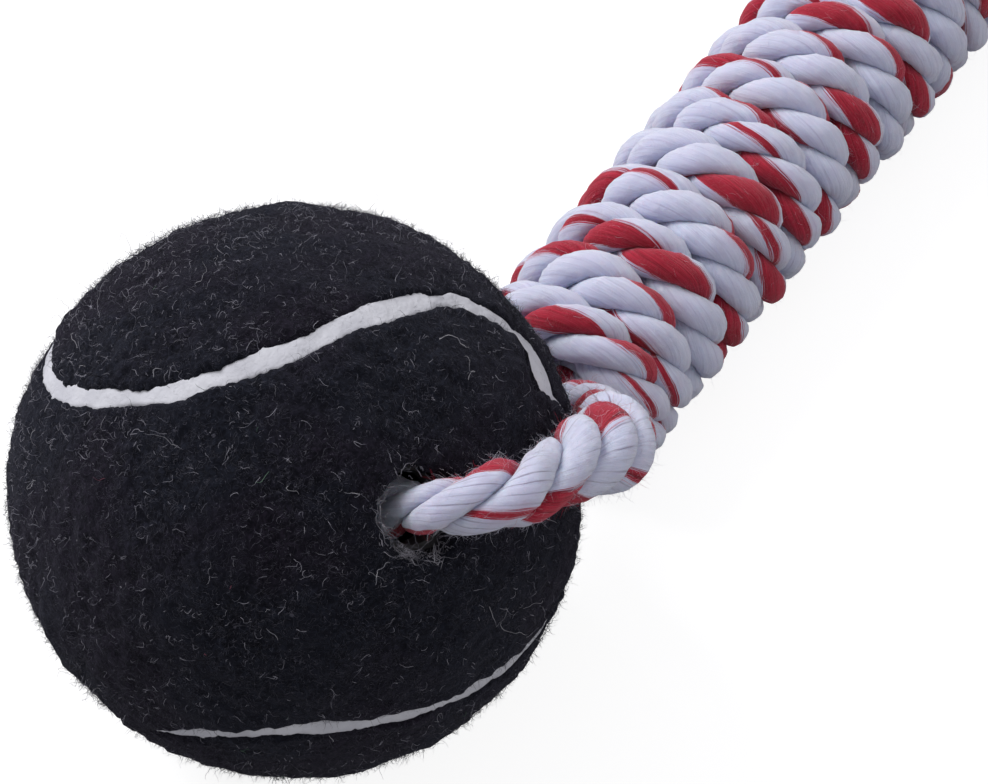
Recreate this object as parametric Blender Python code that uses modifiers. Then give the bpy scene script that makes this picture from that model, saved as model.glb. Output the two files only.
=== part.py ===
"""Dog dumbbell toy: two felt covered balls threaded on one cotton rope, whose middle is wound into a bar.

Metres, +Z up. The bar runs along X and the toy lies on the floor at z = 0, with the origin under its
middle. Ball B and its loop are ball A and its loop turned half round about Z.
"""

import math

import bmesh
import bpy
from mathutils import Matrix, Vector
from mathutils.geometry import interpolate_bezier

MM = 0.001
HALF_TURN = math.pi
FULL_TURN = 2 * math.pi

# Clearances
GAP = 0.3 * MM
OVERRUN = 5 * MM

# Ball, a rubber core in two half shells under two felt panels
BALL_RADIUS = 32.5 * MM
FELT_THICKNESS = 3.2 * MM
FELT_SEAT = 0.5 * MM
RUBBER_WALL = 3.5 * MM
FOOT_DEPTH = 0.5 * MM
SHELL_STEPS = 24
SHELL_OUTER_POINTS = 7
SHELL_INNER_POINTS = 6

# Seam between the felt panels, which lies a little below the felt
SEAM_WIDTH = 2.3 * MM
SEAM_RECESS = 0.7 * MM
SEAM_WAVE_SHARE = 0.785
SEAM_SECTIONS = 48
FELT_COLUMNS = 8
SEAM_TURN = (math.radians(35), math.radians(-71), math.radians(-53))

# Rope, thicker where it runs free than where its turns press on each other
LEG_THICKNESS = 7.4 * MM
LEG_LIFT = 1.3 * MM
LEG_BEND_RADIUS = 7 * MM
WRAP_THICKNESS = 7.6 * MM
WRAP_TURN_GAP = 0.45 * MM
CORE_THICKNESS = 12.4 * MM
WRAP_TURNS = 18
WRAP_POINTS = 24
WRAP_START = math.radians(-90)
CORE_BEVEL_STEPS = 4
WRAP_BEVEL_STEPS = 1
LEG_BEVEL_STEPS = 2

# Bore through the ball, straight but for the room that the bending rope takes in the felt
BORE_HEADING = math.radians(-108)
BORE_RISE = math.radians(41)
FELT_HOLE_ROOM = 1.2 * MM
HOLE_SEGMENTS = 24

# Ball beside the bar
BALL_TO_BAR = 2.5 * MM
BALL_OFFSET = 10.2 * MM

# Legs between the ball and the bar: where each leaves the ball, and how stiffly it turns off
FRONT_HUG_END = math.radians(84)
FRONT_HANDLE_SHARES = (0.22, 0.48)
BACK_HUG_END = math.radians(18)
BACK_HANDLE_SHARES = (0.25, 0.47)
ARC_STEP = math.radians(15)
LEG_POINTS = 10

# Colours
FELT_BLACK = (0.012, 0.012, 0.017)
SEAM_WHITE = (0.60, 0.60, 0.64)
RUBBER_GREY = (0.12, 0.12, 0.13)
COTTON_WHITE = (0.66, 0.65, 0.74)

# Derived sizes
CORE_RADIUS = CORE_THICKNESS / 2
WRAP_RADIUS = WRAP_THICKNESS / 2
LEG_RADIUS = LEG_THICKNESS / 2
WRAP_PITCH = WRAP_THICKNESS + WRAP_TURN_GAP
WRAP_COIL_RADIUS = CORE_RADIUS + GAP + WRAP_RADIUS
BAR_RADIUS = WRAP_COIL_RADIUS + WRAP_RADIUS
BAR_AXIS_Z = BAR_RADIUS + GAP
WRAP_ANGLE = 2 * WRAP_START - HALF_TURN + FULL_TURN * (WRAP_TURNS + 1)
COIL_HALF = WRAP_PITCH * WRAP_ANGLE / FULL_TURN / 2
BAR_HALF = COIL_HALF + WRAP_RADIUS
CORE_HALF = COIL_HALF - LEG_RADIUS
BALL_X = -(BAR_HALF + BALL_TO_BAR + BALL_RADIUS)
BALL_CENTRE = Vector((BALL_X, BALL_OFFSET, BALL_RADIUS - FOOT_DEPTH))
RUBBER_RADIUS = BALL_RADIUS - FELT_THICKNESS - FELT_SEAT
RUBBER_INNER = RUBBER_RADIUS - RUBBER_WALL
BORE_RADIUS = LEG_RADIUS + GAP
FELT_HOLE_RADIUS = LEG_RADIUS + FELT_HOLE_ROOM
HUG_RADIUS = BALL_RADIUS + LEG_LIFT + LEG_RADIUS
BORE_AXIS = Vector((
    math.cos(BORE_RISE) * math.cos(BORE_HEADING),
    math.cos(BORE_RISE) * math.sin(BORE_HEADING),
    math.sin(BORE_RISE),
))
OTHER_END = Matrix.Rotation(HALF_TURN, 4, "Z")


def clear_scene():
    for obj in list(bpy.data.objects):
        bpy.data.objects.remove(obj, do_unlink=True)


def new_collection(name):
    collection = bpy.data.collections.new(name)
    bpy.context.scene.collection.children.link(collection)
    return collection


def new_material(name, colour, roughness):
    material = bpy.data.materials.new(name)
    material.use_nodes = True
    shader = material.node_tree.nodes["Principled BSDF"]
    shader.inputs["Base Color"].default_value = (*colour, 1)
    shader.inputs["Roughness"].default_value = roughness
    shader.inputs["Metallic"].default_value = 0
    material.diffuse_color = (*colour, 1)
    return material


clear_scene()
parts = new_collection("dog_dumbbell_toy")
cutters = new_collection("cutters")
cutters.hide_render = True
felt_material = new_material("black_felt", FELT_BLACK, 0.95)
seam_material = new_material("white_seam", SEAM_WHITE, 0.7)
rubber_material = new_material("grey_rubber", RUBBER_GREY, 0.8)
cotton_material = new_material("cotton", COTTON_WHITE, 0.9)


def mesh_of(name, points, faces=(), edges=()):
    mesh = bpy.data.meshes.new(name)
    mesh.from_pydata([tuple(point) for point in points], edges, faces)
    mesh.validate()
    return mesh


def deepened(mesh, share):
    """Extrudes an open surface on a ball towards the ball's centre, to a share of its radius."""
    shape = bmesh.new()
    shape.from_mesh(mesh)
    pushed = bmesh.ops.extrude_face_region(shape, geom=shape.faces[:], use_keep_orig=True)
    inner = [item for item in pushed["geom"] if isinstance(item, bmesh.types.BMVert)]
    bmesh.ops.scale(shape, vec=(share, share, share), verts=inner)
    bmesh.ops.recalc_face_normals(shape, faces=shape.faces[:])
    shape.to_mesh(mesh)
    shape.free()
    return mesh


def add_object(name, data, material, matrix, parent=None):
    """An object of the toy, placed in the world and then tied to its parent."""
    obj = bpy.data.objects.new(name, data)
    parts.objects.link(obj)
    if material and not data.materials:
        data.materials.append(material)
    if parent:
        obj.parent = parent
        obj.matrix_parent_inverse = parent.matrix_world.inverted()
    obj.matrix_world = matrix
    bpy.context.view_layer.update()
    return obj


def add_cutter(name, build, matrix):
    mesh = bpy.data.meshes.new(name)
    shape = bmesh.new()
    build(shape)
    shape.to_mesh(mesh)
    shape.free()
    obj = bpy.data.objects.new(name, mesh)
    cutters.objects.link(obj)
    obj.matrix_world = matrix
    obj.hide_render = True
    obj.display_type = "WIRE"
    return obj


def cut(obj, cutter):
    boolean = obj.modifiers.new(cutter.name, "BOOLEAN")
    boolean.operation = "DIFFERENCE"
    boolean.object = cutter


def seam_point(turn):
    """Direction and heading of the seam on a unit ball, at an angle along it."""
    wide = SEAM_WAVE_SHARE
    narrow = 1 - wide
    rise = 2 * math.sqrt(wide * narrow)
    place = Vector((
        wide * math.cos(turn) + narrow * math.cos(3 * turn),
        wide * math.sin(turn) - narrow * math.sin(3 * turn),
        rise * math.sin(2 * turn),
    ))
    heading = Vector((
        -wide * math.sin(turn) - 3 * narrow * math.sin(3 * turn),
        wide * math.cos(turn) - 3 * narrow * math.cos(3 * turn),
        2 * rise * math.cos(2 * turn),
    ))
    return place.normalized(), heading.normalized()


def beside_seam(turn, offset):
    """Direction of the point that lies an offset to the side of the seam, on the ball's surface."""
    place, heading = seam_point(turn)
    side = place.cross(heading).normalized()
    angle = offset / BALL_RADIUS
    return place * math.cos(angle) + side * math.sin(angle)


def panel_mesh():
    """One felt panel, in arcs across it between the two sides of its outline."""
    across = Vector((1, 1, 0)).normalized()
    step = FULL_TURN / SEAM_SECTIONS
    rows = SEAM_SECTIONS // 2
    points = []
    for row in range(rows):
        turn = -HALF_TURN / 4 + step * (row + 0.5)
        edge = beside_seam(turn, SEAM_WIDTH / 2 + GAP)
        spread = math.asin(edge.dot(across))
        middle = (edge - across * edge.dot(across)).normalized()
        for column in range(FELT_COLUMNS + 1):
            angle = spread * (2 * column / FELT_COLUMNS - 1)
            points.append((middle * math.cos(angle) + across * math.sin(angle)) * BALL_RADIUS)
    width = FELT_COLUMNS + 1
    faces = [
        (row * width + i, row * width + i + 1, (row + 1) * width + i + 1, (row + 1) * width + i)
        for row in range(rows - 1)
        for i in range(FELT_COLUMNS)
    ]
    return deepened(mesh_of("felt_panel", points, faces), 1 - FELT_THICKNESS / BALL_RADIUS)


def seam_mesh():
    """The seam, a band that runs once round its curve."""
    radius = BALL_RADIUS - SEAM_RECESS
    points = []
    for section in range(SEAM_SECTIONS):
        turn = FULL_TURN * (section + 0.5) / SEAM_SECTIONS
        points.append(beside_seam(turn, -SEAM_WIDTH / 2) * radius)
        points.append(beside_seam(turn, SEAM_WIDTH / 2) * radius)
    count = len(points)
    faces = [(i, (i + 2) % count, (i + 3) % count, i + 1) for i in range(0, count, 2)]
    return deepened(mesh_of("seam", points, faces), (BALL_RADIUS - FELT_THICKNESS) / radius)


def shell_profile():
    """Half shell of the rubber core, from the hole at its pole down its outside and back up its inside."""
    points = []
    for radius, count, backwards in (
        (RUBBER_RADIUS, SHELL_OUTER_POINTS, False),
        (RUBBER_INNER, SHELL_INNER_POINTS, True),
    ):
        first = math.asin(BORE_RADIUS / radius)
        last = math.acos(GAP / 2 / radius)
        arc = []
        for i in range(count):
            angle = first + (last - first) * i / (count - 1)
            arc.append(Vector((radius * math.sin(angle), 0, radius * math.cos(angle))))
        points += arc[::-1] if backwards else arc
    edges = [(i, (i + 1) % len(points)) for i in range(len(points))]
    return mesh_of("core_shell", points, edges=edges)


def turned(obj):
    screw = obj.modifiers.new("turned", "SCREW")
    screw.axis = "Z"
    screw.steps = SHELL_STEPS
    screw.render_steps = SHELL_STEPS
    screw.use_merge_vertices = False
    screw.use_smooth_shade = True


def bore_cylinder(shape):
    depth = 2 * (BALL_RADIUS + OVERRUN)
    bmesh.ops.create_cone(
        shape,
        cap_ends=True,
        segments=HOLE_SEGMENTS,
        radius1=FELT_HOLE_RADIUS,
        radius2=FELT_HOLE_RADIUS,
        depth=depth,
    )


def floor_block(shape):
    """A block whose top lies on the floor, under the whole toy."""
    side = 2 * (abs(BALL_X) + BALL_RADIUS + OVERRUN)
    size = Matrix.Diagonal((side, side, BALL_RADIUS, 1))
    bmesh.ops.create_cube(shape, size=1, matrix=Matrix.Translation((0, 0, -BALL_RADIUS / 2)) @ size)


def make_ball(letter, end, meshes, floor):
    """One ball on its own pivot, an empty at its centre whose Z lies along the bore."""
    centre = Matrix.Translation(BALL_CENTRE)
    along_bore = BORE_AXIS.to_track_quat("Z", "Y").to_matrix().to_4x4()
    pivot = bpy.data.objects.new(f"ball_{letter}_pivot", None)
    parts.objects.link(pivot)
    pivot.empty_display_size = BALL_RADIUS
    pivot.matrix_world = end @ centre @ along_bore
    bpy.context.view_layer.update()

    half_over = Matrix.Rotation(HALF_TURN, 4, "X")
    for side, turn in (("front", Matrix.Identity(4)), ("back", half_over)):
        name = f"core_{letter}_{side}"
        turned(add_object(name, meshes["shell"], rubber_material, pivot.matrix_world @ turn, pivot))

    bore = add_cutter(f"bore_{letter}", bore_cylinder, pivot.matrix_world)
    cover = end @ centre @ euler_matrix(SEAM_TURN)
    for number, turn in ((1, Matrix.Identity(4)), (2, half_over)):
        felt = add_object(f"felt_{letter}_{number}", meshes["panel"], felt_material, cover @ turn, pivot)
        cut(felt, bore)
        cut(felt, floor)
    add_object(f"seam_{letter}", meshes["seam"], seam_material, cover, pivot)


def euler_matrix(angles):
    x, y, z = (Matrix.Rotation(angle, 4, axis) for angle, axis in zip(angles, "XYZ"))
    return z @ y @ x


def wrap_place(x, angle):
    return Vector((
        x,
        WRAP_COIL_RADIUS * math.cos(angle),
        BAR_AXIS_Z + WRAP_COIL_RADIUS * math.sin(angle),
    ))


def wrap_heading(angle):
    """Way the rope runs along the winding, which is left-handed."""
    rise = WRAP_PITCH / FULL_TURN
    across = Vector((0, math.sin(angle), -math.cos(angle))) * WRAP_COIL_RADIUS
    return (across + Vector((rise, 0, 0))).normalized()


def wrap_points():
    """Centre line of the winding, with a straight end one rope thickness long on either side."""
    steps = round(WRAP_ANGLE / FULL_TURN * WRAP_POINTS)
    points = []
    for i in range(steps + 1):
        part = i / steps
        points.append(wrap_place(COIL_HALF * (2 * part - 1), WRAP_START - WRAP_ANGLE * part))
    first = points[0] - wrap_heading(WRAP_START) * WRAP_THICKNESS
    last = points[-1] + wrap_heading(WRAP_START - WRAP_ANGLE) * WRAP_THICKNESS
    return [first, *points, last]


def least_gap(points):
    """Least distance between the surfaces of two turns of the winding."""
    apart = WRAP_POINTS // 2
    nearest = min(
        (points[i] - points[j]).length
        for i in range(len(points))
        for j in range(i + apart, min(i + 2 * WRAP_POINTS, len(points)))
    )
    return nearest - WRAP_THICKNESS


def hug_arc(outward, toward, end_angle):
    """From the straight bore round the tight bend and on round the ball, in the plane of both directions."""
    bend_start = math.sqrt(HUG_RADIUS**2 - 2 * HUG_RADIUS * LEG_BEND_RADIUS)
    meets = math.atan2(LEG_BEND_RADIUS, bend_start)
    turn = HALF_TURN / 2 + meets
    steps = math.ceil(turn / ARC_STEP)
    middle = outward * bend_start + toward * LEG_BEND_RADIUS
    points = []
    for i in range(steps + 1):
        angle = turn * i / steps
        points.append(middle + (outward * math.sin(angle) - toward * math.cos(angle)) * LEG_BEND_RADIUS)
    steps = math.ceil((end_angle - meets) / (ARC_STEP / 2))
    for i in range(1, steps + 1):
        angle = meets + (end_angle - meets) * i / steps
        points.append((outward * math.cos(angle) + toward * math.sin(angle)) * HUG_RADIUS)
    heading = toward * math.cos(end_angle) - outward * math.sin(end_angle)
    return [BALL_CENTRE + point for point in points], heading


def leg_points(outward, target, arrival, hug_end, handle_shares):
    """One leg of the loop, from the ball's middle out of the bore and round to a straight end at its target."""
    turned_in = target - arrival * LEG_RADIUS
    reach = turned_in - BALL_CENTRE
    toward = (reach - outward * reach.dot(outward)).normalized()
    points, heading = hug_arc(outward, toward, hug_end)
    last = points[-1]
    distance = (turned_in - last).length
    out_share, in_share = handle_shares
    run = interpolate_bezier(
        last,
        last + heading * distance * out_share,
        turned_in - arrival * distance * in_share,
        turned_in,
        LEG_POINTS,
    )
    return [*points, *run[1:], target]


def loop_points():
    """The rope loop through ball A: core of the bar, front leg, bore, back leg, first turn of the winding."""
    core_end = Vector((-CORE_HALF - GAP, 0, BAR_AXIS_Z))
    front = leg_points(BORE_AXIS, core_end, Vector((1, 0, 0)), FRONT_HUG_END, FRONT_HANDLE_SHARES)
    heading = wrap_heading(WRAP_START)
    wrap_end = wrap_points()[0] - heading * GAP
    back = leg_points(-BORE_AXIS, wrap_end, heading, BACK_HUG_END, BACK_HANDLE_SHARES)
    return front[::-1] + back


def rope_curve(name, points, thickness, bevel_steps):
    curve = bpy.data.curves.new(name, "CURVE")
    curve.dimensions = "3D"
    curve.bevel_depth = thickness / 2
    curve.bevel_resolution = bevel_steps
    curve.use_fill_caps = True
    spline = curve.splines.new("POLY")
    spline.points.add(len(points) - 1)
    for point, place in zip(spline.points, points):
        point.co = (*place, 1)
    return curve


def make_rope():
    here = Matrix.Identity(4)
    core_ends = [Vector((side * CORE_HALF, 0, BAR_AXIS_Z)) for side in (-1, 1)]
    core = rope_curve("rope_core", core_ends, CORE_THICKNESS, CORE_BEVEL_STEPS)
    add_object("rope_core", core, cotton_material, here)
    winding = wrap_points()
    wrap = rope_curve("rope_wrap", winding, WRAP_THICKNESS, WRAP_BEVEL_STEPS)
    add_object("rope_wrap", wrap, cotton_material, here)
    loop = rope_curve("rope_loop", loop_points(), LEG_THICKNESS, LEG_BEVEL_STEPS)
    add_object("rope_loop_a", loop, cotton_material, here)
    add_object("rope_loop_b", loop, cotton_material, OTHER_END)
    print(f"least gap between the turns of the winding: {least_gap(winding) / MM:.2f} mm")


def shade(obj):
    if obj.type == "MESH" and obj.data.polygons:
        obj.data.shade_smooth()


def main():
    meshes = {"shell": shell_profile(), "panel": panel_mesh(), "seam": seam_mesh()}
    floor = add_cutter("floor", floor_block, Matrix.Identity(4))
    make_ball("a", Matrix.Identity(4), meshes, floor)
    make_ball("b", OTHER_END, meshes, floor)
    make_rope()
    for obj in parts.objects:
        shade(obj)


main()
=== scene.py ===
"""Looks of the dog dumbbell toy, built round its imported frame. Metres, +Z up, with the bar along X."""

import math

import bpy
import numpy as np
from mathutils import Matrix, Vector
from mathutils.kdtree import KDTree


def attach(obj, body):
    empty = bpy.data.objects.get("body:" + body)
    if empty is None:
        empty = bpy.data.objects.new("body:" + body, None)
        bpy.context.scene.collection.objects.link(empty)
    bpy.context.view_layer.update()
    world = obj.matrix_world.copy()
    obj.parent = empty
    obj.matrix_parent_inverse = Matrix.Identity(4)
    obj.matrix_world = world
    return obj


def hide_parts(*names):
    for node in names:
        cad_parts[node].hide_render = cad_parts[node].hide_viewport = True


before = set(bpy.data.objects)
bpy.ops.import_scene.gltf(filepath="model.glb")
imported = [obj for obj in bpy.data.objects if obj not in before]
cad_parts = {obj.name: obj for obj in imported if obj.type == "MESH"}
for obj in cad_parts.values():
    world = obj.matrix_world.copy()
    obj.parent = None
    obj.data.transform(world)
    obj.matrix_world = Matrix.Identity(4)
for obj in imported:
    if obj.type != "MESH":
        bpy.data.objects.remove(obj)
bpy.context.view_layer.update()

MM = 0.001
TURN = 2 * math.pi
QUARTER = math.pi / 2

# Sizes shared with the CAD model
BALL_RADIUS = 32.5 * MM
FELT_THICKNESS = 3.2 * MM
SEAM_WAVE_SHARE = 0.785
SEAM_TURN = (math.radians(35), math.radians(-71), math.radians(-53))
LEG_THICKNESS = 7.4 * MM
LEG_LIFT = 1.3 * MM
LEG_BEND_RADIUS = 7 * MM
WRAP_THICKNESS = 7.6 * MM
WRAP_PITCH = 8.05 * MM
CORE_THICKNESS = 12.4 * MM
GAP = 0.3 * MM
WRAP_TURNS = 18
WRAP_START = math.radians(-90)
BORE_HEADING = math.radians(-108)
BORE_RISE = math.radians(41)
FRONT_HUG_END = math.radians(84)
FRONT_HANDLES = (0.22, 0.48)
BACK_HUG_END = math.radians(18)
BACK_HANDLES = (0.25, 0.47)
CORE_RADIUS = CORE_THICKNESS / 2
LEG_RADIUS = LEG_THICKNESS / 2
COIL_RADIUS = CORE_RADIUS + GAP + WRAP_THICKNESS / 2
BAR_AXIS_Z = COIL_RADIUS + WRAP_THICKNESS / 2 + GAP
WRAP_ANGLE = TURN * WRAP_TURNS
COIL_HALF = WRAP_PITCH * WRAP_TURNS / 2
CORE_HALF = COIL_HALF - LEG_RADIUS
BALL_CENTRE = np.array((-111.25, 10.2, 32.0)) * MM
HUG_RADIUS = BALL_RADIUS + LEG_LIFT + LEG_RADIUS
BORE_AXIS = np.array((
    math.cos(BORE_RISE) * math.cos(BORE_HEADING),
    math.cos(BORE_RISE) * math.sin(BORE_HEADING),
    math.sin(BORE_RISE),
))
OTHER_END = np.diag((-1.0, -1.0, 1.0))

# Where the drawn rope leaves the lines of the CAD model
LEG_LENGTH = 62 * MM
WRAP_TUCK = 2.8 * MM
LEG_BOW = np.array((0.64, 0.42, 0.64)) * 1.15 * MM
LEG_BOW_RISE = (3 * MM, 22 * MM)
LEG_BOW_FALL = (LEG_LENGTH - 16 * MM, LEG_LENGTH + 22 * MM)
LEG_HUG = 0.9 * MM
LEG_HUG_RISE = (22 * MM, 34 * MM)
LEG_HUG_FALL = (42 * MM, 52 * MM)
TUCK_RISE = (-32 * MM, -8 * MM)
TUCK_FALL = (10 * MM, 36 * MM)
BAR_SHIFT = np.array((0, 1.25, 0)) * MM
BAR_SHIFT_FADE = (22 * MM, 54 * MM)
SWELL_RISE = (13 * MM, 20 * MM)
SWELL_FALL = (37 * MM, 23 * MM)
PRESS_FALL = (18 * MM, 14 * MM)

# Felt and seam
FELT_ROWS = 400
FELT_COLUMNS = 100
FELT_SINK = 0.3 * MM
FELT_HOLE_RADIUS = 4.9 * MM
FELT_HOLE_SHIFT = np.array((-0.3, -0.07, -0.18)) * MM
FELT_EDGE_RADIUS = 1.1 * MM
FELT_EDGE_DROP_SHARE = 0.9
FELT_FLOOR_GAP = 0.02 * MM
# Painted light: the side of ball A, facing the key lamp, on which the grey felt fibres lie thickest, and the
# least share of them kept elsewhere
PAINTED_LIGHT_WAY = np.array((0.181, 0.840, 0.512))
PAINTED_LIGHT_LEAST = 0.3
FIBRE_SEAM_GAP = 0.25 * MM
FIBRE_HOLE_GAP = 0.3 * MM
FIBRE_FLOOR_GAP = 0.8 * MM
FRAYING_FIBRES = 250
FRAYING_STEPS = 9
SEAM_HALF_WIDTH = 1.08 * MM
SEAM_RADIUS = BALL_RADIUS - 0.75 * MM
SEAM_SHUT_FROM = math.radians(299)
SEAM_SHUT_TO = math.radians(329.2)
SEAM_SHUT_FADE = math.radians(1.2)
SEAM_STRAY_REACH = 16 * MM
SEAM_SAMPLES = 1440
BAND_SECTIONS = 900
BAND_COLUMNS = 16
BAND_MARGIN = 1.4 * MM
BAND_DOME = 0.12 * MM
BAND_SINK = 0.9 * MM
BAND_SINK_RANGE = (0.3 * MM, 0.8 * MM)

# Ripples: height in millimetres, wavelength and number of waves
FELT_RIPPLES = ((0.16, 11 * MM, 20), (0.09, 3.2 * MM, 30), (0.06, 1.3 * MM, 40))
BAND_RIPPLES = ((0.035, 2.6 * MM, 20), (0.02, 0.9 * MM, 40))
# Ragged edge of the felt: share of the seam's width, wavelength and seed
EDGE_RIPPLES = ((0.09, 0.16, 31), (0.05, 0.04, 41), (0.05, 0.018, 51))

# How the real seam strays: degrees along it, millimetres to its side and share of its even width
SEAM_KNOTS = np.array((
    (2, 0.33, 1.0), (6, 0.5, 0.85), (10, 0.9, 0.75), (14, 0.95, 1.0), (18, 0.65, 1.0), (22, 0.5, 0.82),
    (26, 0.6, 0.8), (30, -0.2, 0.7), (34, -1.0, 0.68), (38, -1.35, 0.7), (42, -1.45, 0.68),
    (46, -1.7, 0.68), (50, -1.6, 0.7), (54, -1.75, 0.77), (58, -2.05, 0.88), (62, -2.3, 0.86),
    (66, -2.55, 0.8), (78, -2.2, 0.9), (95, -0.6, 1.0), (110, 0, 1.0), (200, 0, 1.0), (212, 0, 0.4),
    (220, -0.3, 0.1), (227, -0.5, 0.1), (230, -0.25, 0.25), (236, 0.4, 0.5), (242, 1.5, 0.6),
    (248, 2.4, 0.58), (254, 2.5, 0.58), (260, 2.6, 0.56), (266, 2.9, 0.6), (272, 2.7, 0.62),
    (278, 2.2, 0.6), (284, 2.1, 0.6), (292, 1.6, 0.6), (299, 1.2, 0.6), (312, 3.5, 0.6), (322, 6.5, 0.6),
    (328.6, 8.0, 0.2), (329.4, 7.4, 1.3), (330.8, 6.9, 2.2), (332.5, 6.5, 2.9), (334.5, 6.8, 3.3),
    (336, 7.0, 3.45), (337.6, 7.0, 3.4), (338.6, 3.4, 1.0), (339, 2.3, 0.55), (342, 1.6, 0.7),
    (345, 0.95, 0.8), (348, 0.15, 0.85), (351, 0, 0.3), (354, 0, 1.0), (358, 0.25, 1.05),
))

# Rope
PLIES = 3
LAY = 17.6 * MM
CORE_LAY_SHARE = 1.7
FLOOR_GAP = 0.05 * MM
FUZZ_REACH_SHARE = 0.27
DYED_FUZZ_SHARE = 0.4
WRAP_FUZZ = 6000
LOOP_FUZZ = 8500
WRAP_FLAT = (1.04, 1.09)
ROUND = (1.0, 1.0)
# Loose cotton fibres: lengths and radii in millimetres, steps, lifts, curl and settling
COTTON_FIBRES = ((0.5, 2.3), (0.009, 0.017), 5, (0.0, 0.7), 0.34, 0.06)
COTTON_ROOT_DEPTH = 0.03 * MM
COTTON_STRAY = 0.35
# Painted shade: where along ball A's loop, in metres before the winding, the shade painted into the yarn
# grooves turns much darker
LEG_GROOVE_SHADE_RANGE = (-112 * MM, -126 * MM)
YARNS = 12
YARN_COLUMNS = 5
PLY_OFFSET = 0.5
PLY_ROUNDING = 3.2
PLY_FULLNESS = 1.12
PLY_PRESSED = 0.34
YARN_DEPTH = 0.06 * MM
LUMP_HEIGHT = 0.05 * MM
WRAP_STEPS = 240
BORE_STEPS = 120
BEND_STEPS = 60
RUN_STEPS = 200
ROPE_STEP = 0.72 * MM
LOOP_STEP = 0.4 * MM
CORE_STEP = 1.2 * MM
YARN_TWIST = 1.6
RED_SHARES = (0.4, 0.3, 0.08)
TURN_LENGTH = math.hypot(TURN * COIL_RADIUS, WRAP_PITCH)
UPPER_SIDE = 0.43
STEADY = 0.2 * TURN_LENGTH
OUTLINE_STEPS = 2000

# Seeds
FUZZ_SEED = 60
HOLE_SEED = 61
TWIST_SEED = 100
SWELL_SEED = 200
FELT_SEED = 300
BAND_SEED = 400
LUMP_SEED = 500

# Uneven twist of the rope on the leg and on each turn: degrees for its strands, turns for the yarns of each
LEG_PLACES = np.array((-150, -118)) * MM
LEG_STRANDS = (15, 124)
LEG_YARNS = ((-0.07, 0.26), (-0.26, -0.24), (0.07, 0.4))
STRANDS = (165, 0, -25, -180, -255, -183, -145, -60, 32, -60, 20, -40, 60, 10, -70, -20, 45, 0)
STRAND_YARNS = (
    (0.225, 0.825, 0.825, 0.375, 0.925, 0.5, 0.7, 0.6, 0.25, 0.925, 0.1, 0.6, 0.3, 0.8, 0.5, 0.0, 0.7, 0.2),
    (0.375, 0.0, 0.25, 0.0, 0.025, 0.025, 0.0, 0.35, 0.475, 0.9, 0.6, 0.2, 0.7, 0.4, 0.1, 0.8, 0.3, 0.5),
    (0.6, 0.8, 0.875, 0.25, 0.575, 0.8, 0.325, 0.625, 0.1, 0.0, 0.4, 0.9, 0.5, 0.1, 0.6, 0.3, 0.9, 0.7),
)


# Small helpers

def unit(vectors):
    return vectors / np.linalg.norm(vectors, axis=-1, keepdims=True)


def ripple(points, wavelength, seed, terms=20):
    """Smooth noise of about unit size, a sum of waves in random directions."""
    rng = np.random.default_rng(seed)
    points = np.asarray(points, float)
    if points.ndim == 1:
        points = points[:, None]
    waves = rng.normal(size=(terms, points.shape[1]))
    lengths = np.linalg.norm(waves, axis=1, keepdims=True)
    waves *= TURN / wavelength * rng.uniform(0.6, 1.5, (terms, 1)) / lengths
    phases = rng.uniform(0, TURN, terms)
    total = np.zeros(len(points))
    for wave, phase in zip(waves, phases):
        total += np.sin(points @ wave + phase)
    return total * math.sqrt(2 / terms)


def rippled(points, ripples, seed):
    """Height of ripples on top of each other, each with the next seed."""
    return sum(height * ripple(points, wavelength, seed + i, terms)
               for i, (height, wavelength, terms) in enumerate(ripples)) * MM


def tree_of(points):
    tree = KDTree(len(points))
    for i, point in enumerate(points):
        tree.insert(point, i)
    tree.balance()
    return tree


def smoothstep(value, low, high):
    share = np.clip((value - low) / (high - low), 0, 1)
    return share * share * (3 - 2 * share)


def mesh_from(name, points, *polygons):
    """A smooth mesh from its points and one array of corner indices for each size of polygon."""
    mesh = bpy.data.meshes.new(name)
    mesh.vertices.add(len(points))
    mesh.vertices.foreach_set("co", np.asarray(points, np.float32).ravel())
    corners = np.concatenate([faces.ravel() for faces in polygons])
    sizes = np.concatenate([np.full(len(faces), faces.shape[1]) for faces in polygons])
    mesh.loops.add(len(corners))
    mesh.loops.foreach_set("vertex_index", corners.astype(np.int32))
    mesh.polygons.add(len(sizes))
    mesh.polygons.foreach_set("loop_start", (np.cumsum(sizes) - sizes).astype(np.int32))
    mesh.update(calc_edges=True)
    mesh.shade_smooth()
    return mesh


def new_object(name, data):
    obj = bpy.data.objects.new(name, data)
    bpy.context.scene.collection.objects.link(obj)
    return obj


def add_piece(name, mesh, material, body, slot, *nodes):
    """A piece of the toy that rides on a body and stands for these CAD nodes."""
    obj = new_object(name, mesh)
    mesh.materials.append(material)
    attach(obj, body)
    if nodes:
        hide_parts(*nodes)


# Materials

def new_material(name):
    """A material with its node tree and its Principled shader."""
    material = bpy.data.materials.new(name)
    material.use_nodes = True
    return material, material.node_tree, material.node_tree.nodes["Principled BSDF"]


def connect(tree, socket, value):
    if isinstance(value, bpy.types.NodeSocket):
        tree.links.new(value, socket)
    else:
        socket.default_value = value


def set_inputs(tree, node, inputs):
    """Gives a node's inputs plain values or other nodes' outputs."""
    for name, value in inputs.items():
        connect(tree, node.inputs[name], value)


def add_node(tree, kind, inputs=None, **settings):
    node = tree.nodes.new(kind)
    for name, value in settings.items():
        setattr(node, name, value)
    set_inputs(tree, node, inputs or {})
    return node


def maths(tree, operation, *values):
    node = add_node(tree, "ShaderNodeMath", operation=operation)
    for socket, value in zip(node.inputs, values):
        connect(tree, socket, value)
    return node.outputs[0]


def times(tree, first, second):
    return maths(tree, "MULTIPLY", first, second)


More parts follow.
